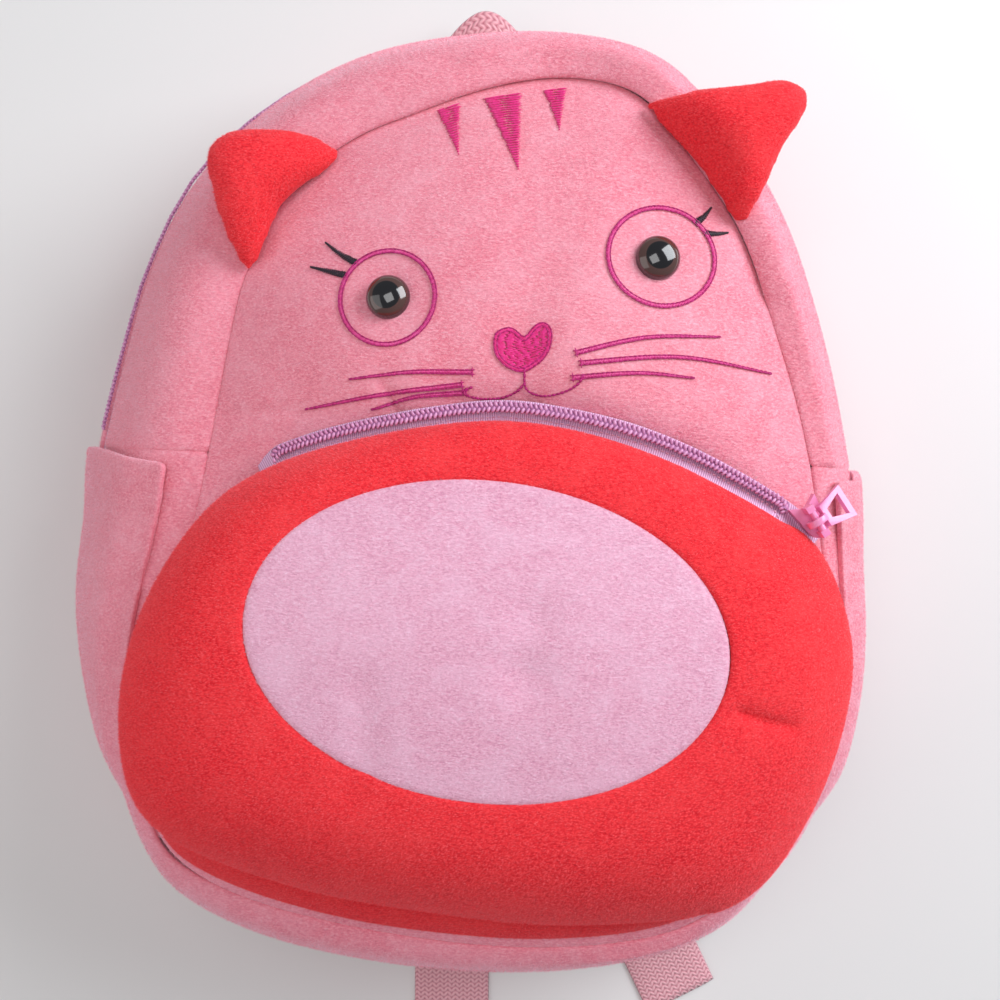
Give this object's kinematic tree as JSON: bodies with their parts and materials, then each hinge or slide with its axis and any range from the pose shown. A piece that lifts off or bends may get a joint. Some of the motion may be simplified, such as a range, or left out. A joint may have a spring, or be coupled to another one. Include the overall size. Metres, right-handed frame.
{
  "type": "kids animal backpack",
  "caption": "Small child's plush backpack with a cat's face, ears, a zipped front pocket, side pockets, padded shoulder straps and a grab handle.",
  "frame": {"origin": "on the ground under the middle of the bag as it lies on its back, at the bottom centre of its overall box", "axes": "+Z from the back towards the cat's face, +Y towards the ears and grab handle, +X to the right as the face is looked at"},
  "size_m": [0.2418, 0.3336, 0.1175],
  "materials": {
    "pink_plush": "short velour pile",
    "red_plush": "short velour pile",
    "pale_plush": "short velour pile",
    "zip_tape": "woven",
    "zip_coil": "satin",
    "webbing": "woven",
    "satin_thread": "satin stitch",
    "black_thread": "satin stitch",
    "pink_plastic": "gloss",
    "eye_plastic": "high gloss"
  },
  "bodies": {
    "bag": {"back_panel": "pink_plush", "zip_band_rear": "pink_plush", "zip_band_front": "pink_plush", "gusset_base": "pink_plush", "side_pocket_left": "pink_plush", "side_pocket_right": "pink_plush", "face_panel": "pink_plush", "shoulder_strap_left": "pink_plush", "shoulder_strap_right": "pink_plush", "corner_tab_left": "pink_plush", "corner_tab_right": "pink_plush", "pocket_panel": "red_plush", "pocket_gusset": "red_plush", "ear_left": "red_plush", "ear_right": "red_plush", "belly_panel": "pale_plush", "main_zip": "zip_tape", "pocket_zip_tape": "zip_tape", "pocket_zip_coil": "zip_coil", "strap_webbing_left": "webbing", "strap_webbing_right": "webbing", "grab_handle": "webbing", "eye_ring_left": "satin_thread", "eye_ring_right": "satin_thread", "stripe_left": "satin_thread", "stripe_middle": "satin_thread", "stripe_right": "satin_thread", "nose": "satin_thread", "mouth": "satin_thread", "whisker_left_1": "satin_thread", "whisker_left_2": "satin_thread", "whisker_left_3": "satin_thread", "whisker_right_1": "satin_thread", "whisker_right_2": "satin_thread", "whisker_right_3": "satin_thread", "lash_left_1": "black_thread", "lash_left_2": "black_thread", "lash_right_1": "black_thread", "lash_right_2": "black_thread", "main_zip_slider": "pink_plastic", "pocket_slider": "pink_plastic", "strap_adjuster_left": "pink_plastic", "strap_adjuster_right": "pink_plastic", "eye_left": "eye_plastic", "eye_right": "eye_plastic"},
    "pocket_pull": {"pocket_pull": "pink_plastic"}
  },
  "joints": [
    {"name": "pull_swing", "type": "hinge", "parent": "bag", "child": "pocket_pull", "pos_m": [0.09473, 0.00717, 0.09894], "axis": [0.5592, -0.829, 0], "range_deg": [-8, 165]}
  ]
}
